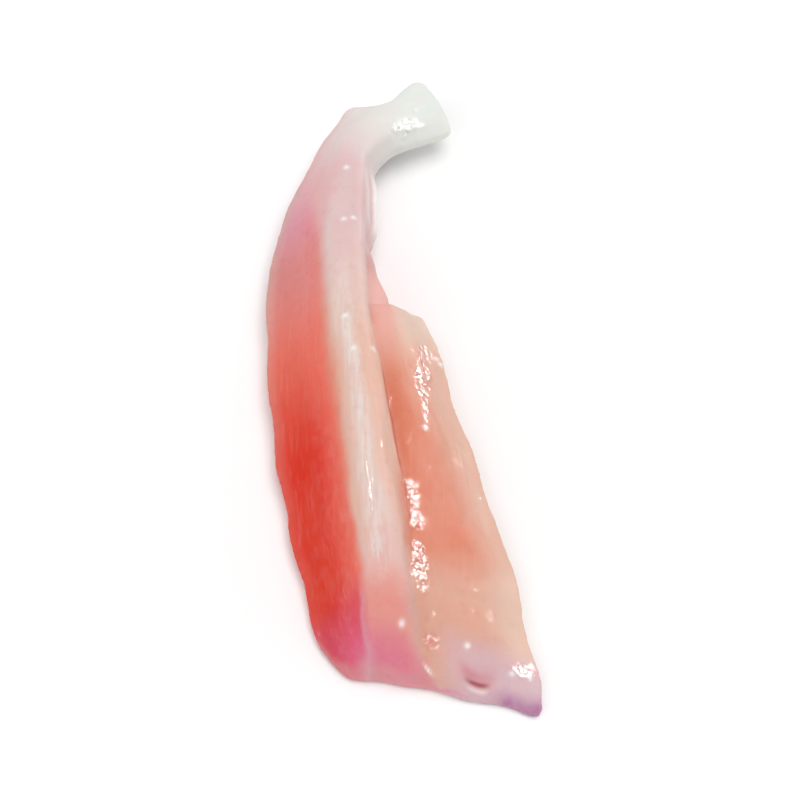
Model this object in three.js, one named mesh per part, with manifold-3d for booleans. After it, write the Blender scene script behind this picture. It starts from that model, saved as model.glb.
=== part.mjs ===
// A piece of raw chicken breast cartilage: the soft rear end of the breastbone, as trimmed from the carcass.
// A keel stands up along the piece and ends in a rounded crest. On its left the flesh sweeps down to a thin
// curled edge, and on its right lies a thicker lobe of flesh that starts at a blunt shoulder. The keel runs
// out into a white, paddle-shaped tail that hooks to the right. The piece lies flat, with its keel up.
// Units are millimetres. +Z is up, +Y points from the cut end to the tail, and +X to the right.
import * as THREE from 'three';
import { mergeVertices } from 'three/addons/utils/BufferGeometryUtils.js';
import Module from 'manifold-3d';

// The line that the crest follows, seen from above: its length from the cut end to the end of the tail, the
// degrees that it leans to the left of +Y, and two turns to the right over a stretch of that length.
const CREST = { length: 79.4, lean: 7.6 };
const STRAIGHTEN = { turn: 8, from: 34, to: 56 };
const HOOK = { turn: 60, from: 60.5, to: 73 };

// The cut end runs askew to the crest by this many degrees, fading out at this length.
const CUT_SKEW = { turn: -25, to: 30 };

// Bulges of the cut end's hem: how far each sticks out, how far right of the crest, and its half width.
const HEM = [
  { out: 2.2, right: -4.4, width: 3.0 },
  { out: 1.3, right: 1.0, width: 3.6 },
  { out: 0.9, right: 8.4, width: 3.6 },
  { out: 0.5, right: 16.0, width: 2.0 },
];
const HEM_DEPTH = 9;

// Sizes of the keel and its left wing. Each changes along the crest through its [length, size] pairs.
const KEEL = {
  // Reach from the crest to the edges on either side.
  left: [[0, 8.5], [3, 9.3], [32, 10.2], [52, 9], [60, 6.8], [65, 4.9], [70.5, 4.8], [74, 3.2], [79.4, 4.3]],
  right: [[0, 3.2], [32, 3.4], [46, 5.2], [52, 3.5], [60, 3.7], [65, 3.1], [70.5, 3.2], [79.4, 4.8]],
  // The crest's height and half width, and the height lost down to its sides.
  top: [[0, 1.6], [3, 8.2], [7.2, 13.6], [17, 15], [32, 14.2], [46, 11.9], [60, 8.6], [79.4, 6.4]],
  bead: [[0, 3], [3, 3], [17, 2.6], [46, 2.6], [70.5, 2.1], [79.4, 2.5]],
  drop: [[0, 0.3], [3, 1.3], [7.2, 2.2], [17, 2.9], [32, 2.9], [46, 2.2], [60, 1.4], [79.4, 0.5]],
  // The height halfway down the left flank, and the hollow under the crest's right side.
  flank: [[0, 1.2], [3, 3.4], [7.2, 5.3], [17, 5.6], [46, 5.2], [65, 5.2], [79.4, 5.7]],
  waist: [[0, 3.2], [3, 3.2], [17, 1.8], [32, 1.6], [52, 2.4], [70.5, 2.6], [79.4, 3.8]],
  waistHeight: [[0, 1.1], [3, 5.2], [7.2, 8.4], [17, 8.2], [32, 7.6], [46, 6.4], [65, 5.8], [79.4, 5.2]],
  // Heights of the edges, and half the thickness of the left one.
  leftEdge: [[0, 0.8], [7.2, 1.5], [17, 2], [46, 2.7], [65, 3.4], [79.4, 4.5]],
  rightEdge: [[0, 0.6], [32, 0.8], [46, 2.2], [52, 3.2], [60, 3.9], [79.4, 4.2]],
  lip: [[0, 0.5], [7.2, 0.8], [52, 0.8], [79.4, 1.1]],
  // The underside, in the middle and by the left edge.
  under: [[0, -0.5], [17, -0.8], [46, -0.7], [60, 0.1], [65, 0.9], [70.5, 1.8], [79.4, 2.5]],
  lift: [[0, -0.3], [7.2, -0.1], [32, 0.6], [60, 1.3], [70.5, 2.2], [79.4, 2.8]],
};

// Sizes of the right lobe, in the same way.
const LOBE = {
  // Reach from the crest to the outer edge, the edge's height, and half its thickness.
  reach: [[0, 16.8], [3, 17.5], [7.2, 16.9], [17, 14.5], [24, 12.8], [32, 11.3], [40, 10.3], [44.7, 9]],
  edge: [[0, 0.7], [3, 1.1], [17, 1.8], [44.7, 2.9]],
  lip: [[0, 0.5], [3, 0.8], [17, 1.3], [40, 1.4], [44.7, 0.8]],
  // Where the lobe leaves the keel.
  crease: [[0, 2.4], [3, 2.8], [17, 2.8], [32, 2.6], [44.7, 2]],
  creaseHeight: [[0, 1.5], [3, 6.2], [7.2, 10.2], [17, 10.5], [24, 8.6], [32, 7], [40, 6], [44.7, 5.2]],
  // The line of its back, and the height halfway from there to the edge.
  crown: [[0, 4.8], [24, 4.5], [44.7, 4.4]],
  crownHeight: [[0, 1.5], [3, 5.4], [7.2, 8.7], [17, 9.9], [32, 8.7], [40, 7.8], [44.7, 6.3]],
  slope: [[0, 1.3], [3, 3.4], [7.2, 5.4], [17, 6.6], [32, 6.7], [44.7, 5.2]],
};
const LOBE_ROOT = { inside: -1.2, below: -0.7 }; // the lobe starts inside the keel and below the floor

// How finely the skin is divided, and over what length its ends are rounded off. farPivot says at which part
// of its height the far end closes.
const KEEL_SKIN = { length: CREST.length, stations: 88, nearRound: 0.8, farRound: 1.7, farPivot: 0.5 };
const LOBE_SKIN = { length: 44.7, stations: 50, nearRound: 0.8, farRound: 1.3, farPivot: 0 };
const STEPS_PER_POINT = 3;
const END_STATIONS = 4;
const CROWDING = 1.25; // above 1, the rings stand closer together near the cut end
const SMALLEST_RING = 0.3; // of a rounded end, against its full size
const ROUNDNESS = 2.4; // 2 rounds an end to a quarter circle, and more makes it blunter

// Unevenness of the flesh and of its outer edges.
const SWELL = { height: 0.15, length: 9.5 };
const EDGE_WAVE = { share: 0.016, length: 11.3 };

const FLOOR = { size: 200, depth: 40 };
const WALK_STEP = 0.2;
const MERGE_WITHIN = 1e-4;

const { clamp, degToRad, lerp, smoothstep } = THREE.MathUtils;

// Points and headings of the crest line, found by walking along it in small steps.
function walkCrest() {
  const line = [];
  let [x, y] = [0, 0];
  for (let at = 0; at <= CREST.length + WALK_STEP; at += WALK_STEP) {
    const straightened = STRAIGHTEN.turn * smoothstep(at, STRAIGHTEN.from, STRAIGHTEN.to);
    const hooked = HOOK.turn * smoothstep(at, HOOK.from, HOOK.to);
    const heading = degToRad(90 + CREST.lean - straightened - hooked);
    line.push({ x, y, heading });
    x += WALK_STEP * Math.cos(heading);
    y += WALK_STEP * Math.sin(heading);
  }
  return line;
}

const crestLine = walkCrest();

// The crest's place at a length, and the direction in which its cross-section lies.
function crestAt(at) {
  const index = Math.min(at / WALK_STEP, crestLine.length - 2);
  const before = crestLine[Math.floor(index)];
  const after = crestLine[Math.floor(index) + 1];
  const part = index - Math.floor(index);
  const skew = degToRad(CUT_SKEW.turn) * (1 - smoothstep(at, 0, CUT_SKEW.to));
  const across = lerp(before.heading, after.heading, part) - Math.PI / 2 + skew;
  return {
    x: lerp(before.x, after.x, part),
    y: lerp(before.y, after.y, part),
    across: new THREE.Vector2(Math.cos(across), Math.sin(across)),
  };
}

// The slope of a size at one of its pairs: level where the size turns back, so that it never overshoots.
function slopeAt(pairs, i) {
  const chord = (k) => (pairs[k + 1][1] - pairs[k][1]) / (pairs[k + 1][0] - pairs[k][0]);
  if (i === 0) return chord(0);
  if (i === pairs.length - 1) return chord(i - 1);
  const [before, after] = [chord(i - 1), chord(i)];
  return before * after <= 0 ? 0 : (2 * before * after) / (before + after);
}

// A size at a length along the crest.
function sizeAt(pairs, at) {
  let i = 0;
  while (i < pairs.length - 2 && at > pairs[i + 1][0]) i += 1;
  const span = pairs[i + 1][0] - pairs[i][0];
  const s = clamp((at - pairs[i][0]) / span, 0, 1);
  const straight = lerp(pairs[i][1], pairs[i + 1][1], 3 * s ** 2 - 2 * s ** 3);
  const leaving = (s ** 3 - 2 * s ** 2 + s) * span * slopeAt(pairs, i);
  const arriving = (s ** 3 - s ** 2) * span * slopeAt(pairs, i + 1);
  return straight + leaving + arriving;
}

// All of a form's sizes at a length along the crest.
function sizesAt(form, at) {
  return Object.fromEntries(Object.entries(form).map(([name, pairs]) => [name, sizeAt(pairs, at)]));
}

// Guide points of the keel's cross-section: [right of the crest, height], clockwise from the left edge.
function keelGuide(s) {
  return [
    [-s.left, s.leftEdge],
    [-0.86 * s.left, s.leftEdge + s.lip],
    [-0.5 * s.left - 0.4 * s.bead, s.flank],
    [-s.bead, s.top - s.drop],
    [-0.55 * s.bead, s.top - 0.28 * s.drop],
    [0.1 * s.bead, s.top],
    [0.7 * s.bead, s.top - 0.25 * s.drop],
    [s.bead, s.top - 0.75 * s.drop],
    [s.waist, s.waistHeight],
    [s.right, s.rightEdge],
    [0.7 * s.right, s.under],
    [-0.35 * s.left, s.under],
    [-0.82 * s.left, s.lift],
  ];
}

// Guide points of the lobe's cross-section, clockwise from its root inside the keel.
function lobeGuide(s) {
  return [
    [LOBE_ROOT.inside, LOBE_ROOT.below],
    [LOBE_ROOT.inside, 0.55 * s.creaseHeight],
    [s.crease, s.creaseHeight],
    [s.crown, s.crownHeight],
    [0.5 * (s.crown + s.reach), s.slope],
    [s.reach - 1.5 * s.lip, s.edge + s.lip],
    [s.reach, s.edge],
    [s.reach - s.lip, 0.15 * s.edge],
    [0.55 * s.reach, LOBE_ROOT.below],
  ];
}

// How far the hem of the cut end sticks out at a distance right of the crest.
function hemAt(across) {
  let out = 0;
  for (const bulge of HEM) out += bulge.out * Math.exp(-(((across - bulge.right) / bulge.width) ** 2));
  return out;
}

// A gentle swell of the flesh, the same for both forms.
function swellAt(x, y, z) {
  const k = (2 * Math.PI) / SWELL.length;
  const broad = Math.sin(k * 0.31 * (y + 2 * x));
  const fine = Math.sin(k * (x + 0.6 * y)) * Math.cos(k * 0.47 * (y - z));
  return SWELL.height * (broad + fine);
}

// Lengths at which a skin is cut into rings, closer together in its rounded ends.
function stationsOf(skin) {
  const inEnd = (i) => 1 - Math.cos((i / END_STATIONS) * Math.PI * 0.5);
  const between = skin.stations - 2 * END_STATIONS;
  const stations = [];
  for (let i = 0; i < END_STATIONS; i += 1) {
    stations.push(skin.nearRound * inEnd(i));
  }
  for (let i = 0; i <= between; i += 1) {
    stations.push(lerp(skin.nearRound, skin.length - skin.farRound, (i / between) ** CROWDING));
  }
  for (let i = END_STATIONS - 1; i >= 0; i -= 1) {
    stations.push(skin.length - skin.farRound * inEnd(i));
  }
  return stations;
}

// The size of a ring in a rounded end, against its full size.
function roundingAt(at, skin) {
  const near = clamp(at / skin.nearRound, 0, 1);
  const far = clamp((skin.length - at) / skin.farRound, 0, 1);
  const round = (1 - (1 - Math.min(near, far)) ** ROUNDNESS) ** (1 / ROUNDNESS);
  return lerp(SMALLEST_RING, 1, round);
}

// The points of one ring, as places in space.
function ringAt(at, form, guide, skin) {
  const crest = crestAt(at);
  const points = guide(sizesAt(form, at)).map(([across, height]) => new THREE.Vector3(across, height, 0));
  const box = new THREE.Box3().setFromPoints(points);
  const middle = lerp(box.min.x, box.max.x, 0.5);
  const pivot = at < skin.length / 2 ? box.min.y : lerp(box.min.y, box.max.y, skin.farPivot);
  const rounding = roundingAt(at, skin);
  // A wide, flat ring loses no more at its sides than the rounded end is deep.
  const width = box.max.x - box.min.x;
  const height = box.max.y - box.min.y;
  const narrowing = 1 - ((1 - rounding) * Math.min(width, 2 * skin.farRound + height)) / width;
  const wave = 1 + EDGE_WAVE.share * Math.sin((2 * Math.PI * at) / EDGE_WAVE.length);
  const hem = 1 - smoothstep(at, 0, HEM_DEPTH);
  const curve = new THREE.CatmullRomCurve3(points, true, 'centripetal');
  return curve.getPoints(points.length * STEPS_PER_POINT).slice(0, -1).map((p) => {
    const across = (middle + (p.x - middle) * narrowing) * wave;
    const up = pivot + (p.y - pivot) * rounding;
    const out = hemAt(across) * hem;
    const x = crest.x + crest.across.x * across + crest.across.y * out;
    const y = crest.y + crest.across.y * across - crest.across.x * out;
    return new THREE.Vector3(x, y, up + swellAt(x, y, up));
  });
}

// A flat face that closes a ring.
function capOf(ring, at, first, faces) {
  const { across } = crestAt(at);
  const rim = ring.map((p) => new THREE.Vector2(p.x * across.x + p.y * across.y, p.z));
  for (const [a, b, c] of THREE.ShapeUtils.triangulateShape(rim, [])) {
    if (at > 0) faces.push(first + c, first + b, first + a);
    else faces.push(first + a, first + b, first + c);
  }
}

// A closed skin through the cross-sections.
function loft(form, guide, skin) {
  const stations = stationsOf(skin);
  const rings = stations.map((at) => ringAt(at, form, guide, skin));
  const count = rings[0].length;
  const faces = [];
  for (let i = 0; i + 1 < rings.length; i += 1) {
    for (let j = 0; j < count; j += 1) {
      const [a, b] = [i * count + j, i * count + ((j + 1) % count)];
      faces.push(a, b, a + count, b, b + count, a + count);
    }
  }
  capOf(rings[0], 0, 0, faces);
  capOf(rings.at(-1), skin.length, (rings.length - 1) * count, faces);
  const geometry = new THREE.BufferGeometry().setFromPoints(rings.flat());
  geometry.setIndex(faces);
  return geometry;
}

const wasm = await Module();
wasm.setup();

// A closed geometry as a solid that can be joined and cut.
function solidOf(geometry) {
  const bare = geometry.clone();
  bare.deleteAttribute('normal');
  bare.deleteAttribute('uv');
  const merged = mergeVertices(bare, MERGE_WITHIN);
  return new wasm.Manifold(
    new wasm.Mesh({
      numProp: 3,
      vertProperties: new Float32Array(merged.attributes.position.array),
      triVerts: new Uint32Array(merged.index.array),
    }),
  );
}

// A solid as a geometry again.
function geometryOf(solid) {
  const mesh = solid.getMesh();
  const geometry = new THREE.BufferGeometry();
  geometry.setAttribute('position', new THREE.BufferAttribute(new Float32Array(mesh.vertProperties), 3));
  geometry.setIndex(new THREE.BufferAttribute(new Uint32Array(mesh.triVerts), 1));
  return geometry;
}

// What the soft flesh would press below the surface that it rests on is cut off flat.
function cutOffBelow(solid) {
  const block = new THREE.BoxGeometry(FLOOR.size, FLOOR.size, FLOOR.depth);
  return solid.subtract(solidOf(block.translate(0, 0, -FLOOR.depth / 2)));
}

const keel = solidOf(loft(KEEL, keelGuide, KEEL_SKIN));
const lobe = solidOf(loft(LOBE, lobeGuide, LOBE_SKIN));
const geometry = geometryOf(cutOffBelow(keel.add(lobe)));

// The origin is at the middle of the footprint, on the surface that the piece rests on.
geometry.computeBoundingBox();
const middle = geometry.boundingBox.getCenter(new THREE.Vector3());
geometry.translate(-middle.x, -middle.y, -geometry.boundingBox.min.z);
geometry.computeVertexNormals();

const flesh = new THREE.MeshStandardMaterial({ color: 0xe09a84, roughness: 0.28, metalness: 0 });
const piece = new THREE.Mesh(geometry, flesh);
piece.name = 'cartilage_piece';

const group = new THREE.Group();
group.add(piece);

export default group;
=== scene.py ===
"""The looks of a piece of raw chicken breast cartilage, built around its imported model.

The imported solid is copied, remeshed finely and given the relief of wet flesh. Its colours follow masks
that are stored on the mesh, and one material mixes them. Most places are given in millimetres along the
crest line, from the cut end, and to the right of it. x and y are millimetres from the piece's middle.
"""

import math

import bmesh
import bpy
import numpy as np
from mathutils import Euler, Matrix, Vector, kdtree, noise


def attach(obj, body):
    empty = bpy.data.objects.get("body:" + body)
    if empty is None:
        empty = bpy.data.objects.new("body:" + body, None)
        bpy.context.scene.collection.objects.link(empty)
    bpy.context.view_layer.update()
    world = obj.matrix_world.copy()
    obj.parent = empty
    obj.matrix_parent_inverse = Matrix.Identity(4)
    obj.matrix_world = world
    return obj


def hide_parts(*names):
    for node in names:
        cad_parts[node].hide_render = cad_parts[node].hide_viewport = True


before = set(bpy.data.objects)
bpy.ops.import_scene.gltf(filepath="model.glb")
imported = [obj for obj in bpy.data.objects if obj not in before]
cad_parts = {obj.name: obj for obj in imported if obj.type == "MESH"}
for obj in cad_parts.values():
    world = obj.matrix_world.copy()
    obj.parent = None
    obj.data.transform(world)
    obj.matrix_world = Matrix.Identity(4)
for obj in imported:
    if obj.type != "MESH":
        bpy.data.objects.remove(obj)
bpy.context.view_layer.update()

NODE = "cartilage_piece"
BODY = "root"
MM = 0.001
UP = np.array((0.0, 0.0, 1.0))

bl_info = {
    "name": "Raw cartilage piece",
    "version": (1, 0, 0),
    "blender": (4, 5, 0),
    "location": "3D View > Sidebar > Cartilage",
    "description": "Builds the skin, colours and stage of a raw chicken cartilage piece",
    "category": "Object",
}


def length(name, description, millimetres):
    """A property for a length, with its default given in millimetres."""
    return bpy.props.FloatProperty(
        name=name, description=description, default=millimetres * MM, unit="LENGTH", precision=5
    )


def angle(name, description, degrees):
    """A property for an angle, with its default given in degrees."""
    return bpy.props.FloatProperty(
        name=name, description=description, default=math.radians(degrees), subtype="ANGLE"
    )


def number(name, description, default):
    """A property for a plain number."""
    return bpy.props.FloatProperty(name=name, description=description, default=default)


def passes(name, description, default):
    """A property for a number of passes."""
    return bpy.props.IntProperty(name=name, description=description, default=default, min=0)


def linear(red, green, blue):
    """A display colour from 0 to 255, as the linear colour that shaders use."""
    steps = [value / 255 for value in (red, green, blue)]
    return tuple(s / 12.92 if s <= 0.04045 else ((s + 0.055) / 1.055) ** 2.4 for s in steps)


def colour(name, description, red, green, blue):
    """A property for a colour, with its default as display values from 0 to 255."""
    default = linear(red, green, blue)
    return bpy.props.FloatVectorProperty(
        name=name, description=description, default=default, subtype="COLOR", size=3, min=0, max=1
    )


class CrestLine(bpy.types.PropertyGroup):
    """The line that the crest follows, seen from above, as the solid has it."""

    start_x: length("Start right of middle", "Where the crest meets the cut end, from the middle", -0.6)
    start_y: length("Start before middle", "Where the crest meets the cut end, from the middle", -35.6)
    run: length("Length", "From the cut end to the end of the tail", 79.4)
    step: length("Step", "Distance between worked-out points", 0.2)
    lean: angle("Lean", "How far the keel leans to the left", 7.6)
    straighten: angle("Straighten", "How far it turns back", 8)
    straighten_from: length("Straighten from", "Where that turn starts", 34)
    straighten_to: length("Straighten to", "Where that turn ends", 56)
    hook: angle("Hook", "How far the tail turns to the right", 60)
    hook_from: length("Hook from", "Where the tail's turn starts", 60.5)
    hook_to: length("Hook to", "Where the tail's turn ends", 73)


class Skin(bpy.types.PropertyGroup):
    """Sizes of the fine skin and its relief."""

    voxel: length("Voxel", "Grain of the remeshed skin", 0.28)
    soften: passes("Soften", "Passes that smooth the solid's facets", 12)
    soften_again: passes("Soften again", "Passes that smooth the filled skin", 3)
    lump_height: length("Lump height", "Of the broad unevenness of the flesh", 0.16)
    lump_size: length("Lump size", "Width of the broad unevenness", 5.5)
    dimple_height: length("Dimple height", "Of the small unevenness of the wet surface", 0.07)
    dimple_size: length("Dimple size", "Width of the small unevenness", 1.5)
    fibre_height: length("Fibre height", "Of the muscle fibres on the flank and the lobe", 0.07)
    fibre_width: length("Fibre width", "Distance between muscle fibres", 0.55)
    fibre_run: length("Fibre run", "How far a fibre keeps its place", 9)
    crease_depth: length("Crease depth", "Of the furrow between crest and lobe", 0.1)
    crease_width: length("Crease width", "Of the furrow between crest and lobe", 0.24)
    film_height: length("Film height", "Of the thin edges of film", 0.3)
    elbow_height: length("Elbow height", "Of the corner where the tail turns", 0.55)
    tip_height: length("Tip height", "Of the left corner at the tail's end", 0.5)
    filling_height: length("Filling height", "Of the flesh in the valley between crest and lobe", 1.25)
    notch_depth: length("Notch depth", "Of the notch in the neck's right edge", 0.6)
    drop_height: length("Drop height", "Of the small drops on the surface", 0.13)
    slit_depth: length("Slit depth", "Of the slit near the cut end's corner", 0.3)
    corner_height: length("Corner height", "Of the point at the cut end's right corner", 0.45)
    fold_height: length("Fold height", "Of the fold down the cut end", 0.3)


class Colours(bpy.types.PropertyGroup):
    """Colours of the flesh, before light that the wet surface mirrors is added. The groove and slit
    colours are painted shade, the web colour is painted lighter against shade, and the film colour also
    paints highlights.
    """

    salmon: colour("Salmon", "The lobe's flesh", 221, 133, 104)
    peach: colour("Peach", "The lobe's flesh towards the cut end", 222, 168, 147)
    pale: colour("Pale flesh", "Thin flesh at the lobe's edges and shoulder", 227, 205, 188)
    red: colour("Red", "The left flank's deep red flesh", 225, 50, 28)
    coral: colour("Coral", "The left flank's flesh above the deep red", 236, 115, 97)
    rose: colour("Rose", "The flank towards the neck", 222, 134, 131)
    lilac: colour("Lilac", "The flank beside the neck", 224, 148, 164)
    crest: colour("Crest", "Cartilage under thin flesh along the crest", 224, 198, 189)
    crest_end: colour("Crest end", "Where the crest meets the cut end", 223, 184, 176)
    blush: colour("Blush", "The crest's sides", 227, 171, 147)
    neck: colour("Neck", "The translucent neck", 222, 194, 194)
    ivory: colour("Ivory", "The tail's bare cartilage", 228, 231, 226)
    raspberry: colour("Raspberry", "The flank's lower end", 218, 70, 92)
    magenta: colour("Magenta", "Film at the cut end", 224, 116, 148)
    cut_end: colour("Cut end", "The cut end below the crest", 229, 155, 145)
    bruise: colour("Bruise", "Flesh around the slit", 212, 186, 198)
    hem: colour("Hem", "The flank's thin lower edge", 214, 170, 164)
    # Partly painted light: pink flesh by the shoulder, made lighter against the shade in the valley beside
    # the crest
    web_painted_lighter: colour("Web", "Flesh between the lobe's shoulder and the neck", 240, 180, 172)
    # Partly painted shade: the deeper red flesh inside the slit, darkened as shade falls in it
    slit_shade: colour("Slit", "Inside the slit", 168, 48, 60)
    lip: colour("Lip", "Flesh above the slit", 206, 116, 124)
    violet: colour("Violet", "Bruised film at the cut end's corner", 172, 112, 158)
    # Painted shade: a dark colour laid in the furrow beside the crest
    groove_shade: colour("Groove", "Deep in the furrow beside the crest", 200, 84, 62)
    # Also painted highlights: white glints on the drops, and a white line below the slit
    film_and_highlights: colour("Film", "The thin white edges of film, and the drops", 250, 245, 242)


class Stage(bpy.types.PropertyGroup):
    """The camera, the floor and the lights."""

    elevation: angle("Camera elevation", "Above the horizon", 62)
    distance: length("Camera distance", "From the camera's target", 300)
    target_x: length("Target right", "The camera's target, from the middle", 0.1)
    target_y: length("Target ahead", "The camera's target, from the middle", -4.2)
    target_z: length("Target height", "The camera's target", 6)
    frame_width: length("Frame width", "What the camera sees at its target", 92)
    key: number("Key light", "Strength of the main light, in watts per square metre", 1.5)
    fill: number("Fill light", "Strength of the light from the front, in watts per square metre", 0.7)
    glint: number("Glint light", "Strength of each small light that wet flesh glints in, in watts", 0.9)
    world: number("Surround", "Brightness of the white surround", 0.46)


class Socket:
    """A shader socket that takes part in Python expressions: each operator adds a Math node."""

    def __init__(self, shader, socket):
        self.shader = shader
        self.socket = socket

    def _math(self, operation, *values):
        return self.shader.node("ShaderNodeMath", {"operation": operation}, dict(enumerate(values)))

    def __add__(self, other):
        return self._math("ADD", self, other)

    def __radd__(self, other):
        return self._math("ADD", other, self)

    def __sub__(self, other):
        return self._math("SUBTRACT", self, other)

    def __rsub__(self, other):
        return self._math("SUBTRACT", other, self)

    def __mul__(self, other):
        return self._math("MULTIPLY", self, other)

    def __rmul__(self, other):
        return self._math("MULTIPLY", other, self)

    def clamped(self):
        """The value, kept between 0 and 1."""
        return self.shader.node("ShaderNodeClamp", {}, {"Value": self, "Min": 0.0, "Max": 1.0})

    def ramp(self, low, high):
        """0 below low and 1 above high, with a smooth rise between them."""
        values = {"Value": self, "From Min": low, "From Max": high}
        return self.shader.node("ShaderNodeMapRange", {"interpolation_type": "SMOOTHSTEP"}, values)


class Shader:
    """A material's node tree, built one node at a time."""

    def __init__(self, name):
        self.material = bpy.data.materials.new(name)
        self.material.use_nodes = True
        self.tree = self.material.node_tree
        self.tree.nodes.clear()

    def node(self, kind, settings, values, output=0):
        """Adds a node: its settings first, then the values or links of its sockets. Returns one output."""
        node = self.tree.nodes.new(kind)
        for key, value in settings.items():
            setattr(node, key, value)
        for key, value in values.items():
            socket = node.inputs[key]
            if isinstance(value, Socket):
                self.tree.links.new(value.socket, socket)
            else:
                socket.default_value = value
        return Socket(self, node.outputs[output])

    def mask(self, name):
        """A mask that is stored on the mesh."""
        settings = {"attribute_type": "GEOMETRY", "attribute_name": name}
        return self.node("ShaderNodeAttribute", settings, {}, "Fac")

    def millimetres(self, stretch=(1, 1, 1)):
        """The place on the object in millimetres, divided by a stretch along each axis."""
        place = self.node("ShaderNodeTexCoord", {}, {}, "Object")
        scale = tuple(1 / (MM * s) for s in stretch)
        return self.node("ShaderNodeVectorMath", {"operation": "MULTIPLY"}, {0: place, 1: scale})

    def noise(self, size, detail, roughness=0.5, stretch=(1, 1, 1)):
        """Noise from 0 to 1, with features of a size in millimetres."""
        place = self.millimetres(stretch)
        values = {"Vector": place, "Scale": 1 / size, "Detail": detail, "Roughness": roughness}
        return self.node("ShaderNodeTexNoise", {}, values, "Fac")

    def mix(self, first, second, factor):
        """Two colours, mixed by a factor."""
        values = {0: factor, 6: first, 7: second}
        return self.node("ShaderNodeMix", {"data_type": "RGBA"}, values, 2)

    def layer(self, base, rgb, factor):
        """A plain colour laid over a base by a factor."""
        return self.mix(base, opaque(rgb), factor)

    def tint(self, base, factor, rgb):
        """A colour multiplied by a plain colour, by a factor."""
        settings = {"data_type": "RGBA", "blend_type": "MULTIPLY"}
        return self.node("ShaderNodeMix", settings, {0: factor, 6: base, 7: opaque(rgb)}, 2)

    def bump(self, height, strength, distance, normal=None):
        """A bumped normal. distance is in metres."""
        values = {"Height": height, "Strength": strength, "Distance": distance}
        if normal is not None:
            values["Normal"] = normal
        return self.node("ShaderNodeBump", {}, values)

    def surface(self, values):
        """A surface shader with light that scatters below the skin."""
        return self.node("ShaderNodeBsdfPrincipled", {"subsurface_method": "RANDOM_WALK"}, values)

    def finish(self, surface):
        """Adds the output."""
        output = self.tree.nodes.new("ShaderNodeOutputMaterial")
        self.tree.links.new(surface.socket, output.inputs["Surface"])
        return self.material


def opaque(rgb):
    """A colour as the four values that a socket takes."""
    return (*rgb, 1.0)


def smooth(value, low, high):
    """0 below low and 1 above high, with a smooth rise between them. low may be the larger."""
    t = np.clip((value - low) / (high - low), 0, 1)
    return t * t * (3 - 2 * t)


def span(value, start, full, fade, end):
    """0 outside start and end and 1 from full to fade, with a smooth rise and fall between them."""
    return smooth(value, start, full) * smooth(value, end, fade)


def bump_at(value, centre, width):
    """1 at the centre, falling off on both sides."""
    return np.exp(-(((value - centre) / width) ** 2))


def read_off(profile, place):
    """A profile's value at each place. A profile is a row of pairs, each a place and the value there."""
    places, values = zip(*profile)
    return np.interp(place, places, values)


# Each kind of unevenness draws on its own stretch of the noise
SEEDS = {
    "lumps": 1,
    "small_lumps": 2,
    "dimples": 3,
    "fibres": 4,
    "wander": 6,
    "fray": 7,
    "film_edge": 8,
    "wet_patches": 9,
    "fold": 10,
    "ledge": 11,
}
SEED_STEP = (17.3, 5.1, 9.7)


def noise_at(points, size, kind):
    """Smooth noise between about -1 and 1 at each point."""
    shift = Vector([SEEDS[kind] * step for step in SEED_STEP])
    return np.array([noise.noise(Vector(p) / size + shift) for p in points])


def walk_crest(line):
    """Points and headings of the crest line."""
    count = int(line.run / line.step) + 2
    at = np.arange(count) * line.step
    turned = line.straighten * smooth(at, line.straighten_from, line.straighten_to)
    turned += line.hook * smooth(at, line.hook_from, line.hook_to)
    heading = math.pi / 2 + line.lean - turned
    steps = line.step * np.stack([np.cos(heading), np.sin(heading)], axis=1)
    points = np.vstack([[0, 0], np.cumsum(steps, axis=0)[:-1]])
    return at, points + [line.start_x, line.start_y], heading


def crest_places(points, line):
    """How far each point lies along the crest line, and to the right of it, in millimetres."""
    at, crest, heading = walk_crest(line)
    tree = kdtree.KDTree(len(crest))
    for i, (x, y) in enumerate(crest):
        tree.insert((x, y, 0), i)
    tree.balance()
    nearest = np.array([tree.find((x, y, 0))[1] for x, y in points[:, :2]])
    offset = points[:, :2] - crest[nearest]
    ahead = np.stack([np.cos(heading), np.sin(heading)], axis=1)[nearest]
    along = at[nearest] + np.einsum("ij,ij->i", offset, ahead)
    right = offset[:, 0] * ahead[:, 1] - offset[:, 1] * ahead[:, 0]
    return along / MM, right / MM


def edge_reach(place, reach, spacing=1.0):
    """For each point, how far the outermost points beside it reach. All are in millimetres."""
    bins = ((place - place.min()) / spacing).astype(int)
    furthest = np.full(bins.max() + 1, -np.inf)
    np.maximum.at(furthest, bins, reach)
    centres = place.min() + (np.arange(len(furthest)) + 0.5) * spacing
    known = np.isfinite(furthest)
    furthest = np.interp(centres, centres[known], furthest[known])
    padded = np.pad(furthest, 1, mode="edge")
    eased = (padded[:-2] + 2 * padded[1:-1] + padded[2:]) / 4
    return np.interp(place, centres, eased)


def read_vectors(mesh, name):
    """A vector of each of a mesh's points, such as its place or its normal."""
    values = np.empty(len(mesh.vertices) * 3)
    mesh.vertices.foreach_get(name, values)
    return values.reshape(-1, 3)


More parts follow.
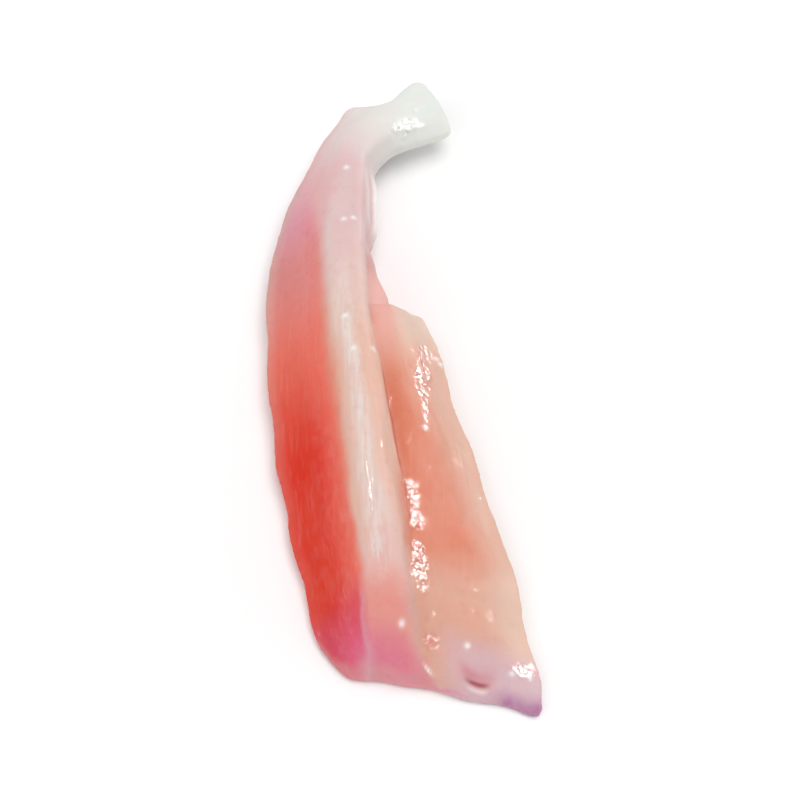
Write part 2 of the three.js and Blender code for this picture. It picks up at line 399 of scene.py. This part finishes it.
class Surface:
    """The skin's points, with their places in millimetres along and across the crest line."""

    def __init__(self, mesh, line):
        self.mesh = mesh
        self.points = read_vectors(mesh, "co")
        self.normals = read_vectors(mesh, "normal")
        self.along, self.right = crest_places(self.points, line)
        self.x, self.y, self.up = self.points.T / MM
        self.from_left = edge_reach(self.along, -self.right) + self.right
        self.from_right = edge_reach(self.along, self.right) - self.right
        self.from_cut = edge_reach(self.x, -self.y) + self.y

    def facing_up(self, low, high):
        """0 where the skin is steep or faces down and 1 where it faces up."""
        return smooth(self.normals[:, 2], low, high)

    def move_by(self, moves):
        """Moves the points, and keeps them on or above the floor."""
        self.points += moves
        self.points[:, 2] = np.maximum(self.points[:, 2], 0)
        self.mesh.vertices.foreach_set("co", self.points.ravel())
        self.mesh.update()

    def store(self, name, values):
        """Stores a mask on the mesh."""
        layer = self.mesh.attributes.new(name, "FLOAT", "POINT")
        layer.data.foreach_set("value", np.clip(values, 0, 1).astype(np.float32))


class Wandering:
    """A surface's places, shifted a little by noise, so that no colour ends on an even line."""

    def __init__(self, surface):
        wander = noise_at(surface.points, 6 * MM, "wander")
        self.fray = noise_at(surface.points, 1.6 * MM, "fray")
        self.along = surface.along + 1.4 * wander
        self.right = surface.right + 0.15 * wander + 0.1 * self.fray
        self.from_cut = surface.from_cut + 0.6 * wander + 0.3 * self.fray
        self.x = surface.x + 0.6 * wander


def joined_copy(node):
    """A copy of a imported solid's mesh with its points joined."""
    mesh = node.data.copy()
    joined = bmesh.new()
    joined.from_mesh(mesh)
    bmesh.ops.remove_doubles(joined, verts=joined.verts, dist=0.001 * MM)
    joined.to_mesh(mesh)
    joined.free()
    return mesh


def remeshed(mesh, voxel, rounds):
    """A fine, even mesh in place of a closed one, smoothed by a number of rounds."""
    draft = bpy.data.objects.new("skin_draft", mesh)
    bpy.context.scene.collection.objects.link(draft)
    grain = draft.modifiers.new("Grain", "REMESH")
    grain.mode = "VOXEL"
    grain.voxel_size = voxel
    ease = draft.modifiers.new("Ease", "SMOOTH")
    ease.factor = 0.5
    ease.iterations = rounds
    evaluated = draft.evaluated_get(bpy.context.evaluated_depsgraph_get())
    fine = bpy.data.meshes.new_from_object(evaluated)
    bpy.data.objects.remove(draft)
    bpy.data.meshes.remove(mesh)
    return fine


# How far right of the crest line the crest's side drops to the lobe, by the place along the line
CREST_EDGE = (
    (6, 2.4), (12, 3.1), (18, 3.4), (21, 3.3), (26.5, 3.1), (33.7, 2.9), (37.5, 2.5), (41.5, 2.3),
)

# Heights of the crest and of the neck, by the place along the line
CREST_TOP = ((12, 14.6), (17, 14.9), (23, 14.7), (30, 14.1), (35, 13.5), (42, 12.6))
NECK_TOP = ((50, 10.2), (54, 9.1), (57, 8.2), (60, 7.6), (63, 7.2), (66, 6.9))

# Heights of the edges that the lobe's outer slope and the neck's right side go down to
LOBE_EDGE_TOP = 2.4
NECK_EDGE_TOP = 4.2

# How far right of the crest line the neck's right side starts
NECK_SIDE = 2.1

# How far the crest's right side falls, by the share of the way from the line to its edge
BANK_FALL = ((0, 0), (0.2, 0.15), (0.55, 1.0), (0.7, 1.7), (0.85, 2.5), (1, 3.5))

# How steeply the lobe's outer slope rises from its edge, by the place along the line
LOBE_RISE = ((14, 0.9), (20, 0.95), (26, 1.05), (30, 1.3), (38, 1.2), (42, 1.08))


def filling_valley(s):
    """1 in the valley between the crest and the lobe."""
    valley = span(s.right, 2.2, 2.5, 2.6, 4.5) * span(s.up, 2.5, 4, 9, 11.5)
    return valley * span(s.along, 17, 31, 40, 48)


def filling_slope(s):
    """How far the lobe's outer slope stands above the solid's step, in millimetres."""
    top = LOBE_EDGE_TOP + read_off(LOBE_RISE, s.along) * s.from_right
    slope = np.maximum(top - s.up, 0) * smooth(s.up, 1.5, 2.6)
    slope *= smooth(s.from_right, 4.6, 3.6) * smooth(s.right, 4, 5)
    return slope * span(s.along, 8, 16, 42, 48)


def filling_neck(s):
    """How far the neck's right side stands above the solid's step, in millimetres."""
    across = (s.right - NECK_SIDE) / np.maximum(s.right + s.from_right - NECK_SIDE, 0.5)
    top = read_off(NECK_TOP, s.along)
    neck = np.maximum(top + (NECK_EDGE_TOP - top) * across - s.up, 0)
    neck *= smooth(s.up, 2.4, 3.4) * smooth(s.right, 1.8, NECK_SIDE)
    return neck * span(s.along, 49, 52, 63, 66)


def filling_bank(s):
    """How far the crest's rounded right side stands above the solid's, in millimetres."""
    edge = read_off(CREST_EDGE, s.along)
    top = read_off(CREST_TOP, s.along) - read_off(BANK_FALL, s.right / edge)
    bank = np.maximum(top - s.up, 0) * smooth(s.right - edge, 0.3, 0.05) * smooth(s.right, 1.6, 2)
    return bank * span(s.along, 8, 13, 38, 42) * smooth(s.up, 4, 6)


def filling(surface, skin):
    """How far up the soft flesh stands above the plain solid, in metres."""
    steps = filling_slope(surface) + filling_neck(surface) + filling_bank(surface)
    return skin.filling_height * filling_valley(surface) + steps * MM


# Small drops, each by its place along and right of the crest line
DROPS = (
    (75.5, 0.6), (72, 2), (62.2, 0.1), (53.7, 0), (54.1, 1.1), (39, -0.4), (34.3, 0), (34.5, 2.45),
    (37.3, 9.9), (36.6, 10.3), (26, 7), (2.2, 1.2), (0.3, 8.2), (-2.7, 12.8), (-1.9, 15), (-3.2, 14.7),
)
DROP_WIDTH = 0.3

# Small features of the cut end, each by its x and y
SLIT = (8.6, -37.9)
END_FILM = (3.2, -36.4)
RIGHT_CORNER = (15.4, -40.2)
CORNER_GLINTS = (13.6, -36.2)

# Small features of the neck and the tail, each by its place along the crest line
NECK_NOTCH = 53.2
ELBOW = 70
TIP = 77.3


def drops_and_glints(s):
    """1 on each small drop."""
    squares = [(s.along - along) ** 2 + (s.right - right) ** 2 for along, right in DROPS]
    return np.exp(-np.minimum.reduce(squares) / DROP_WIDTH ** 2) * s.facing_up(0.25, 0.5)


def fold_place(s):
    """How far right of the crest line the fold down the cut end runs, in millimetres."""
    return -2.65 + 0.4 * noise_at(s.points, 2.5 * MM, "fold")


def slit_shape(s, reach, above=0.0):
    """1 in the cut end's curved slit. reach widens it, and above moves it up, in millimetres."""
    x, y = s.x - SLIT[0], s.y - SLIT[1]
    across = (y + 0.2 * x - 0.16 * x * x - above) / (0.3 * reach)
    lengthwise = x / (1.3 * reach ** 0.4)
    return np.exp(-(across ** 2) - lengthwise ** 4) * s.facing_up(0.1, 0.4)


def film_lines(s):
    """1 on the edges of film: two beside the neck, the inner one fainter, and one at the cut end."""
    wave = 0.9 * noise_at(s.points, 3 * MM, "film_edge")
    ledge = 0.8 * noise_at(s.points, 2 * MM, "ledge")
    outer = smooth(s.from_right + 0.3 * wave, 0.7, 0.3) * span(s.along, 53.5, 56, 60, 66)
    outer *= smooth(s.right, 2, 2.6) * smooth(s.up + ledge, 2, 3.2)
    inner = bump_at(s.right + 0.09 * (s.along - 56) + 0.4 * wave, 3, 0.22)
    inner *= span(s.along, 54, 57, 62, 65)
    x, y = s.x - END_FILM[0], s.y - END_FILM[1]
    across_end = bump_at(x + 1.1 * y, 0, 0.22) * bump_at(x - y, 0, 0.8) * s.facing_up(0.1, 0.4)
    return np.maximum.reduce([outer, 0.35 * inner, across_end])


def flesh_texture(s, skin):
    """Heights of lumps, dimples and muscle fibres, in metres."""
    above_floor = smooth(s.up, 0.4, 1.6)
    lumps = noise_at(s.points, skin.lump_size, "lumps")
    lumps += 0.5 * noise_at(s.points, skin.lump_size / 2.3, "small_lumps")
    height = skin.lump_height * lumps * above_floor * (1 - 0.6 * smooth(s.from_left, 2.5, 0.5))
    height += skin.dimple_height * noise_at(s.points, skin.dimple_size, "dimples") * above_floor
    across, up = s.right * MM / skin.fibre_width, s.up * MM / skin.fibre_width
    grain = np.stack([across, s.along * MM / skin.fibre_run, up])
    fibres = skin.fibre_height * noise_at(grain.T, 1, "fibres")
    cartilage = smooth(s.along, 50, 64)
    off_crest = 1 - bump_at(s.right, 0, 2.4)
    height += fibres * (1 - cartilage) * off_crest * above_floor * (0.4 + 0.6 * smooth(s.right, 2, -1))
    return height + 0.4 * fibres * cartilage


def relief(surface, skin):
    """Heights to add to the skin, in metres."""
    s = surface
    height = flesh_texture(s, skin)
    furrow = bump_at(s.right - read_off(CREST_EDGE, s.along), 0.25, skin.crease_width / MM)
    height -= skin.crease_depth * furrow * span(s.along, 16, 22, 32, 38) * smooth(s.up, 3, 5)
    height += skin.film_height * film_lines(s)
    height += skin.slit_depth * (0.35 * slit_shape(s, 2.2) - 1.35 * slit_shape(s, 0.9))
    corner_x, corner_y = RIGHT_CORNER
    height += skin.corner_height * bump_at(s.x, corner_x, 0.9) * bump_at(s.y, corner_y, 0.9)
    fold = bump_at(s.right, fold_place(s), 0.4) * smooth(s.from_cut, 7, 3)
    height += skin.fold_height * fold * smooth(s.up, 0.4, 1.6)
    height += skin.elbow_height * bump_at(s.along, ELBOW, 0.85) * smooth(s.right, -3.2, -4.4)
    height += skin.tip_height * bump_at(s.along, TIP, 2.6) * smooth(s.right, -0.5, -4)
    height -= skin.notch_depth * bump_at(s.along, NECK_NOTCH, 1.3) * smooth(s.right, 2.3, 3)
    return height + skin.drop_height * drops_and_glints(s)


# How far left of the line the crest's pale band ends, and how gradually, by the place along the line
PALE_BAND = (
    (0, 3.2), (3, 2.9), (8, 2.1), (15, 2.6), (22, 2.4), (31, 2.5), (41, 2.4), (50, 2.4), (60, 2.6),
)
PALE_BAND_FADE = ((0, 0.8), (12, 0.9), (22, 1.3), (34, 2.2), (42, 1.8), (52, 1.6), (60, 4))

# How strongly the flank's left edge and the crest's sides are coloured, by the place along the line
HEM_STRENGTH = ((0, 0.1), (20, 0.2), (40, 0.5), (46, 0.9), (54, 1))
BLUSH_STRENGTH = ((0, 0.7), (10, 0.8), (24, 0.8), (32, 1), (42, 0.3), (52, 0))

# How far right of the line that colour of the crest's right side starts, by the place along it
BLUSH_START = ((8, 0.9), (12, 0.9), (20, -0.3))

# How far in from the lobe's edge its flesh is pale, by the place along the line
PALE_EDGE = ((0, 5.5), (20, 6), (26, 7.2), (34, 8))

# How far up the cut end the magenta film reaches, by x
END_FILM_REACH = ((-4, 5.6), (0, 4.2), (3, 1.8), (4.4, 0.01))

# Where the wet rows lie right of the line, and how wide they are, by the place along it
WET_ROW = ((6, 4), (12, 4.15), (20, 4.1))
WET_SHOULDER = ((28, 7.4), (32, 7.6), (35, 8.1), (38, 8.6))
WET_SHOULDER_WIDTH = ((27, 0.25), (30, 0.4), (32, 1), (37, 0.85))


def paint_flank(s, w):
    """Stores the masks of the flank on the left, and returns the flank's own."""
    border = read_off(PALE_BAND, w.along)
    fade = read_off(PALE_BAND_FADE, w.along)
    flank = smooth(w.right, -border + 0.4 * fade, -border - 0.8 * fade)
    s.store("flank", flank)
    s.store("red", smooth(w.along, 44, 24) * smooth(w.right, -border + 0.4, -border - 3.4))
    s.store("coral", smooth(w.along, 51, 37))
    s.store("lilac", smooth(w.along, 49, 58) * smooth(w.right, -1, -6))
    s.store("upper", smooth(w.along, 55, 65))
    # Where the flank's outer side is painted a little darker
    s.store("outer", smooth(w.right, -3.5, -7.5))
    s.store("raspberry", smooth(w.along, 9, 3) * smooth(w.right, -2, -2.8))
    left_hem = smooth(s.from_left, 1.7, 0.2) * read_off(HEM_STRENGTH, w.along)
    cut_hem = 0.7 * smooth(w.from_cut, 1.4, 0.2) * smooth(w.x, 5, 1)
    s.store("hem", np.maximum(left_hem, cut_hem))
    return flank


def paint_crest(s, w, flank):
    """Stores the masks of the crest, and of the painted shade in the furrow beside it."""
    edge = read_off(CREST_EDGE, s.along)
    beside_valley = smooth(w.along, 16, 22)
    crest = (1 - beside_valley) * smooth(w.right, 3.6, 2)
    crest += beside_valley * smooth(w.right - np.maximum(edge, 2.7), 0.2, -0.15)
    s.store("crest", crest * (1 - flank))
    s.store("crest_end", smooth(w.along, 16, 8))
    start = read_off(BLUSH_START, w.along)
    sides = np.maximum(smooth(w.right, -0.6, -2.2), smooth(w.right, start, start + 1.7))
    s.store("blush", read_off(BLUSH_STRENGTH, w.along) * sides)
    s.store("centre", bump_at(w.right, -0.4, 1.1) * span(w.along, 5, 9, 40, 50))
    s.store("sheen", bump_at(s.right, -0.5, 1) * span(s.along, 6, 10, 17, 21))
    # Where shade is painted in the furrow beside the crest
    furrow = bump_at(s.right - edge, 0.3, 0.25) * smooth(s.up, 10.5, 9.3)
    s.store("groove_shade", furrow * span(s.along, 17, 21, 30, 37))


def paint_lobe(s, w):
    """Stores the masks of the lobe on the right and of the flesh between its shoulder and the neck, which
    is pink and painted lighter against the valley's shade.
    """
    lobe = smooth(w.right, 1.6, 3.4) * smooth(w.along, 52, 46)
    edge = 0.64 * smooth(s.from_right / read_off(PALE_EDGE, w.along), 1, 0.1)
    shoulder = smooth(w.along, 30, 42) * (0.65 + 0.35 * smooth(w.right, 3.5, 8))
    s.store("thin", lobe * np.maximum(edge, shoulder))
    s.store("peach", smooth(w.from_cut - 0.3 * np.maximum(w.right - 5, 0), 15, 9))
    s.store("slope", lobe * smooth(s.from_right, 3.4, 2.2) * smooth(s.along, 14, 20))
    # Painted light with the flesh's pink: lifts the valley's shade by the shoulder
    s.store("web_painted_lighter", bump_at(w.right, 4, 1.5) * smooth(w.right, 2.2, 3) * span(w.along, 33, 41, 47, 52))


def paint_tail(s, w):
    """Stores the masks of the neck and the tail."""
    s.store("neck", smooth(w.along, 40, 56))
    s.store("tail", smooth(w.along + 0.25 * w.right + np.maximum(w.right - 1, 0), 61, 76))


def paint_cut_end(s, w):
    """Stores the masks of the cut end, its slit with painted shade inside, and its fold."""
    below_crest = smooth(w.from_cut + 0.4 * w.fray, 10.5, 5.2)
    s.store("below_crest", below_crest * smooth(w.right, 3.4, 1) * smooth(w.right, -3, -2.4))
    reach = read_off(END_FILM_REACH, w.x)
    s.store("magenta", smooth(w.from_cut / reach, 1.05, 0.15) * smooth(w.right, -6.5, -3.5))
    fold_width = 0.35 + 0.4 * smooth(s.from_cut, 3.5, 1)
    s.store("fold", bump_at(s.right, fold_place(s), fold_width) * smooth(w.from_cut, 8, 5))
    s.store("bruise", smooth(w.x, 2, 8) * smooth(w.from_cut, 7.5, 3))
    s.store("violet", smooth(w.x, 9, 12.5) * smooth(w.from_cut, 1.9, 0.2))
    # Painted shade inside the slit
    s.store("slit_shade", slit_shape(s, 0.8))
    s.store("lip", slit_shape(s, 2.8, 0.7) * (0.8 + 0.5 * w.fray))


def paint_wet(s, w):
    """Stores the masks of the wettest places, the drops, which are also painted white as glints, and the
    thin edges of film, with a painted highlight below the slit.
    """
    row = bump_at(s.right, read_off(WET_ROW, s.along), 0.95)
    row *= span(s.along, 4, 8, 17, 20.5) * (1 - bump_at(s.along, 12, 0.9))
    width = read_off(WET_SHOULDER_WIDTH, s.along)
    shoulder = bump_at(s.right, read_off(WET_SHOULDER, s.along), width)
    shoulder *= span(s.along, 26, 28, 37.5, 39.5)
    tip = bump_at(s.along, 73.6, 1.9) * bump_at(s.right, 2.1, 0.9)
    corner_x, corner_y = CORNER_GLINTS
    cut_end = 0.9 * bump_at(w.x, corner_x, 1.5) * bump_at(s.y, corner_y, 0.9)
    cut_end += 0.9 * bump_at(s.along, 0.9, 0.7) * bump_at(s.right, 4.2, 0.9)
    patches = 0.75 + 0.6 * noise_at(s.points, 2.2 * MM, "wet_patches")
    s.store("wet", patches * np.maximum.reduce([row, shoulder, tip, cut_end]))
    # The drops' mask is also where white glints are painted
    s.store("drops_and_glints", drops_and_glints(s))
    # Painted highlight: a white line just below the slit, added to the film edges
    s.store("film_and_highlights", np.maximum(film_lines(s), 0.4 * slit_shape(s, 0.7, -0.5)))


def paint(surface):
    """Stores the masks that the flesh's material mixes its colours by."""
    wandering = Wandering(surface)
    flank = paint_flank(surface, wandering)
    paint_crest(surface, wandering, flank)
    paint_lobe(surface, wandering)
    paint_tail(surface, wandering)
    paint_cut_end(surface, wandering)
    paint_wet(surface, wandering)


# Painted shade: the flank's outer side is multiplied by this, a little darker in red
OUTER_SHADE = linear(242, 255, 255)
MOTTLE_SHADE = linear(235, 190, 180)
FLOOR_TONES = (linear(250, 250, 250), linear(246, 246, 246))


def flesh_colour(shader, colours, mottle, strands):
    """The flesh's colours, mixed by the masks, with painted shade in the furrow and the slit, painted
    light by the shoulder, and painted highlights on the drops and below the slit. Wet places, the tail and
    the streaks come after them.
    """
    blotches = shader.noise(7, detail=3)
    clouds = shader.noise(2.4, detail=1, stretch=(1, 3, 1))
    flank = shader.layer(opaque(colours.rose), colours.coral, shader.mask("coral"))
    flank = shader.layer(flank, colours.red, shader.mask("red") * (0.7 + 0.5 * blotches).clamped())
    flank = shader.layer(flank, colours.lilac, shader.mask("lilac") * 0.9)
    flank = shader.layer(flank, colours.neck, shader.mask("upper") * 0.6)
    lobe = shader.layer(opaque(colours.salmon), colours.peach, shader.mask("peach"))
    lobe = shader.layer(lobe, colours.pale, shader.mask("thin") * (0.65 + 0.45 * mottle).clamped())
    crest = shader.layer(opaque(colours.crest), colours.blush, shader.mask("blush") * 0.8)
    crest = shader.layer(crest, colours.crest_end, shader.mask("crest_end"))
    crest = shader.layer(crest, colours.ivory, shader.mask("centre") * strands.ramp(0.42, 0.62) * 0.45)
    neck = shader.layer(opaque(colours.neck), colours.rose, clouds.ramp(0.35, 0.8) * 0.2)
    base = shader.mix(lobe, crest, shader.mask("crest"))
    base = shader.mix(base, neck, shader.mask("neck"))
    base = shader.mix(base, flank, shader.mask("flank") * (1 - shader.mask("tail")))
    base = shader.layer(base, colours.cut_end, shader.mask("below_crest"))
    base = shader.layer(base, colours.raspberry, shader.mask("raspberry"))
    base = shader.layer(base, colours.magenta, shader.mask("magenta") * (0.4 + 0.7 * blotches).clamped())
    base = shader.layer(base, colours.bruise, shader.mask("fold") * 0.4)
    base = shader.layer(base, colours.bruise, shader.mask("bruise") * (0.4 + 0.7 * mottle).clamped())
    base = shader.layer(base, colours.violet, shader.mask("violet") * (0.35 + 0.8 * mottle).clamped())
    base = shader.layer(base, colours.lip, shader.mask("lip") * 0.7)
    # Painted shade inside the slit, over its deeper red flesh
    base = shader.layer(base, colours.slit_shade, shader.mask("slit_shade") * 0.85)
    # Painted shade in the furrow beside the crest
    base = shader.layer(base, colours.groove_shade, shader.mask("groove_shade") * 0.6)
    # Pink flesh by the shoulder, painted lighter against the valley's shade
    base = shader.layer(base, colours.web_painted_lighter, shader.mask("web_painted_lighter") * 0.8)
    base = shader.layer(base, colours.hem, shader.mask("hem") * 0.6)
    # White film edges, with a painted highlight below the slit
    base = shader.layer(base, colours.film_and_highlights, shader.mask("film_and_highlights"))
    # Painted highlight: the drops are painted white as glints
    return shader.layer(base, colours.film_and_highlights, shader.mask("drops_and_glints"))


def flesh_material(colours):
    """Wet raw flesh and cartilage: damp all over, with a glossy film of water on the wettest places."""
    shader = Shader("raw_flesh")
    tail, wet = shader.mask("tail"), shader.mask("wet")
    off_tail = 1 - tail
    mottle = shader.noise(1.3, detail=3, roughness=0.6)
    strands = shader.noise(0.5, detail=3, roughness=0.6, stretch=(1, 14, 1))
    ripples = shader.noise(0.75, detail=1).ramp(0.3, 0.7)
    beads = shader.noise(2.2, detail=2).ramp(0.62, 0.7)
    pores = shader.noise(0.35, detail=2)

    base = flesh_colour(shader, colours, mottle, strands)
    # Painted shade: deep red in the troughs of the wet ripples, as dark rims round the glints
    base = shader.layer(base, colours.red, wet * (1 - ripples) * 0.4 * off_tail)
    # Painted shade on the flank's outer side
    base = shader.tint(base, shader.mask("outer"), OUTER_SHADE)
    base = shader.layer(base, colours.ivory, tail)
    base = shader.layer(base, colours.crest, strands.ramp(0.5, 0.8) * 0.1 * off_tail)
    base = shader.tint(base, mottle.ramp(0.5, 0.8) * 0.2 * off_tail, MOTTLE_SHADE)

    normal = shader.bump(strands, 0.25, 0.08 * MM)
    normal = shader.bump(ripples * (0.03 + 0.1 * beads) + pores * 0.05, 1.0, 0.22 * MM, normal)
    sheen = (0.22 * shader.mask("flank") + 0.1 * shader.mask("slope")) * mottle.ramp(0.48, 0.56)
    coat = sheen + 0.15 * beads + 0.25 * shader.mask("sheen") + shader.mask("drops_and_glints")
    damp = {
        "Base Color": base,
        "Roughness": 0.42 + 0.1 * mottle + 0.3 * tail,
        "Normal": normal,
        "IOR": 1.38,
        "Specular IOR Level": 0.12,
        "Subsurface Weight": 0.5,
        "Subsurface Radius": (1.0, 0.35, 0.22),
        "Subsurface Scale": 1.5 * MM,
        "Coat Weight": coat.clamped(),
        "Coat Roughness": 0.08,
    }
    dripping = {
        **damp,
        "Roughness": 0.08,
        "Normal": shader.bump(ripples, 1.0, 0.17 * MM, normal),
        "IOR": 1.5,
        "Specular IOR Level": 1.0,
    }
    surfaces = {0: wet.ramp(0.1, 0.6), 1: shader.surface(damp), 2: shader.surface(dripping)}
    return shader.finish(shader.node("ShaderNodeMixShader", {}, surfaces))


def floor_material():
    """A plain, nearly white floor."""
    shader = Shader("pale_floor")
    bright, dim = FLOOR_TONES
    base = shader.layer(opaque(bright), dim, shader.noise(30, detail=2))
    return shader.finish(shader.surface({"Base Color": base, "Roughness": 0.9}))


class CARTILAGE_OT_flesh(bpy.types.Operator):
    """Builds the skin of flesh and cartilage in place of the plain solid"""

    bl_idname = "cartilage.flesh"
    bl_label = "Flesh and cartilage"

    def execute(self, context):
        scene = context.scene
        skin = scene.cartilage_skin
        mesh = remeshed(joined_copy(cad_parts[NODE]), skin.voxel, skin.soften)
        plain = Surface(mesh, scene.cartilage_crest)
        plain.move_by(filling(plain, skin)[:, None] * UP)
        mesh = remeshed(mesh, skin.voxel, skin.soften_again)
        surface = Surface(mesh, scene.cartilage_crest)
        paint(surface)
        surface.move_by(relief(surface, skin)[:, None] * surface.normals)
        mesh.polygons.foreach_set("use_smooth", np.ones(len(mesh.polygons), bool))
        mesh.materials.clear()
        mesh.materials.append(flesh_material(scene.cartilage_colours))
        piece = bpy.data.objects.new("flesh_and_cartilage", mesh)
        scene.collection.objects.link(piece)
        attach(piece, BODY)
        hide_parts(NODE)
        return {"FINISHED"}


# Where each light shines from, and its spread in degrees
KEY_LIGHT = ((0.2, 0.1, 0.96), 45)
FILL_LIGHT = ((-0.6, -0.45, 0.62), 60)

# Small lights for the wet flesh to mirror, each by its bearing from +Y towards +X and height, in degrees
GLINTS = {
    "right": (56, 24),
    "mid_right": (66, 10),
    "low_right": (50, 5),
    "flat_right": (40, 8),
    "side": (60, 38),
    "high_right": (55, 52),
    "far_right": (78, 42),
    "back": (32, 46),
    "high_back": (-12, 60),
    "left": (-60, 54),
    "low_left": (-105, 28),
    "front_left": (-140, 40),
    "front": (170, 34),
    "front_right": (113, 35),
}
GLINT_SIZE = 0.08
GLINT_DISTANCE = 0.5

FLOOR_HALF = 3.0
FLOOR_DROP = 0.05 * MM


def aimed(name, light, away):
    """Puts a light in the scene, so that it shines from a place towards the piece."""
    lamp = bpy.data.objects.new(name, light)
    lamp.location = away
    lamp.rotation_euler = away.to_track_quat("Z", "Y").to_euler()
    bpy.context.scene.collection.objects.link(lamp)
    return lamp


def add_sun(name, sun, strength):
    """A soft light that is the same all over the floor, and that nothing mirrors."""
    away, spread = sun
    light = bpy.data.lights.new(name, "SUN")
    light.energy = strength
    light.angle = math.radians(spread)
    aimed(name, light, Vector(away)).visible_glossy = False


def add_glint(name, azimuth, elevation, power):
    """A small light that only shows where it is mirrored."""
    light = bpy.data.lights.new(name, "AREA")
    light.size = GLINT_SIZE
    light.energy = power
    bearing, height = math.radians(azimuth), math.radians(elevation)
    flat = math.cos(height)
    away = Vector((flat * math.sin(bearing), flat * math.cos(bearing), math.sin(height)))
    aimed(name, light, GLINT_DISTANCE * away).visible_diffuse = False


class CARTILAGE_OT_stage(bpy.types.Operator):
    """Sets up the camera, the pale floor and the soft studio light"""

    bl_idname = "cartilage.stage"
    bl_label = "Stage"

    def execute(self, context):
        scene = context.scene
        stage = scene.cartilage_stage
        target = Vector((stage.target_x, stage.target_y, stage.target_z))
        camera_data = bpy.data.cameras.new("camera")
        camera_data.lens = camera_data.sensor_width * stage.distance / stage.frame_width
        camera_data.clip_start = 10 * MM
        camera = bpy.data.objects.new("camera", camera_data)
        away = Vector((0, -math.cos(stage.elevation), math.sin(stage.elevation)))
        camera.location = target + stage.distance * away
        camera.rotation_euler = Euler((math.pi / 2 - stage.elevation, 0, 0))
        scene.collection.objects.link(camera)
        scene.camera = camera

        sheet = bpy.data.meshes.new("floor")
        half = FLOOR_HALF
        corners = [(-half, -half, 0), (half, -half, 0), (half, half, 0), (-half, half, 0)]
        sheet.from_pydata(corners, [], [(0, 1, 2, 3)])
        sheet.materials.append(floor_material())
        floor = bpy.data.objects.new("floor", sheet)
        floor.location.z = -FLOOR_DROP
        scene.collection.objects.link(floor)

        add_sun("key_light", KEY_LIGHT, stage.key)
        add_sun("fill_light", FILL_LIGHT, stage.fill)
        for name, (azimuth, elevation) in GLINTS.items():
            add_glint(f"glint_{name}", azimuth, elevation, stage.glint)

        world = bpy.data.worlds.new("white_surround")
        world.use_nodes = True
        background = world.node_tree.nodes["Background"]
        background.inputs["Color"].default_value = (1, 1, 1, 1)
        background.inputs["Strength"].default_value = stage.world
        scene.world = world
        scene.view_settings.view_transform = "Standard"
        return {"FINISHED"}


class CARTILAGE_PT_panel(bpy.types.Panel):
    """Lists what the file builds"""

    bl_idname = "CARTILAGE_PT_panel"
    bl_label = "Raw cartilage piece"
    bl_space_type = "VIEW_3D"
    bl_region_type = "UI"
    bl_category = "Cartilage"

    def draw(self, context):
        for operator in OPERATORS:
            self.layout.operator(operator.bl_idname)


GROUPS = {
    "cartilage_crest": CrestLine,
    "cartilage_skin": Skin,
    "cartilage_colours": Colours,
    "cartilage_stage": Stage,
}
OPERATORS = (CARTILAGE_OT_flesh, CARTILAGE_OT_stage)
CLASSES = (*GROUPS.values(), *OPERATORS, CARTILAGE_PT_panel)


def register():
    """Registers the classes and puts the property groups on the scene."""
    for cls in CLASSES:
        bpy.utils.register_class(cls)
    for name, group in GROUPS.items():
        setattr(bpy.types.Scene, name, bpy.props.PointerProperty(type=group))


def unregister():
    """Takes them off again."""
    for name in GROUPS:
        delattr(bpy.types.Scene, name)
    for cls in reversed(CLASSES):
        bpy.utils.unregister_class(cls)


def main():
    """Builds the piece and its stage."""
    register()
    bpy.ops.cartilage.flesh()
    bpy.ops.cartilage.stage()


if __name__ == "__main__":
    main()
